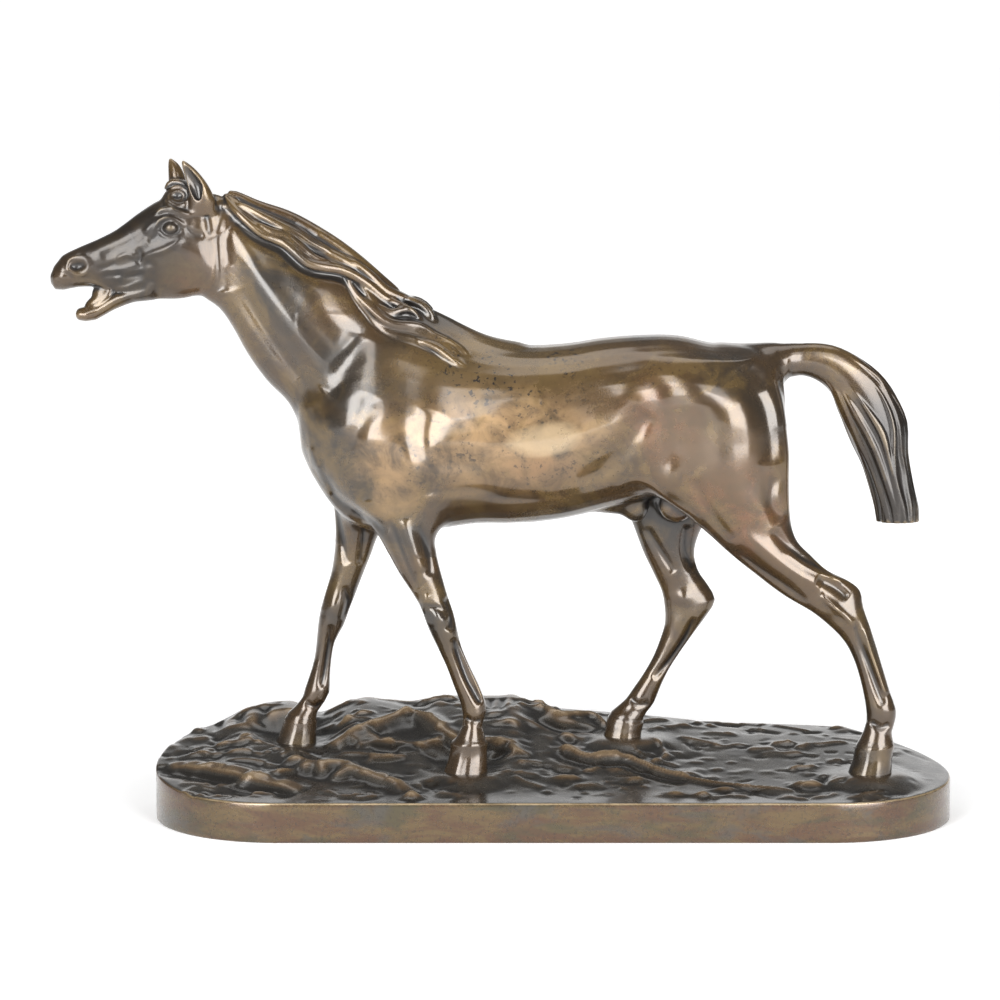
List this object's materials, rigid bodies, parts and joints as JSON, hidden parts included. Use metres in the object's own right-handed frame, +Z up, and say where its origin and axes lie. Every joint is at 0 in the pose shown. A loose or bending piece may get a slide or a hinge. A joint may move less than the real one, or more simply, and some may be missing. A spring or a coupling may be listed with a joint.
{
  "type": "horse statuette",
  "caption": "Cast statuette of a walking, neighing horse with a full tail, fixed by studs to a long round-ended plinth of rough ground.",
  "frame": {"origin": "centre of the overall box in X and Y, on the plane that the plinth rests on", "axes": "+Z up, the horse faces -X, its near (left) side is towards -Y"},
  "size_m": [0.3608, 0.104, 0.2643],
  "materials": {
    "horse_bronze": "dark brown waxed patina with golden rubbed edges",
    "ground_bronze": "dark brown patina, rubbed brown on the ridges and the plain edge",
    "pin_bronze": "plain bronze, closed over by the castings",
    "fixing_steel": "dull plain steel"
  },
  "bodies": {
    "root": {"plinth": "ground_bronze", "torso": "horse_bronze", "neck_and_head": "horse_bronze", "near_foreleg": "horse_bronze", "far_foreleg": "horse_bronze", "near_hindleg": "horse_bronze", "far_hindleg": "horse_bronze", "tail": "horse_bronze", "near_foreleg_pin": "pin_bronze", "far_foreleg_pin": "pin_bronze", "near_hindleg_pin": "pin_bronze", "far_hindleg_pin": "pin_bronze", "tail_pin": "pin_bronze", "neck_pin_near": "pin_bronze", "neck_pin_far": "pin_bronze", "core_plug_front": "pin_bronze", "core_plug_rear": "pin_bronze", "near_fore_stud": "fixing_steel", "near_fore_washer": "fixing_steel", "near_fore_nut": "fixing_steel", "far_fore_stud": "fixing_steel", "far_fore_washer": "fixing_steel", "far_fore_nut": "fixing_steel", "near_hind_stud": "fixing_steel", "near_hind_washer": "fixing_steel", "near_hind_nut": "fixing_steel", "far_hind_stud": "fixing_steel", "far_hind_washer": "fixing_steel", "far_hind_nut": "fixing_steel"}
  },
  "joints": []
}
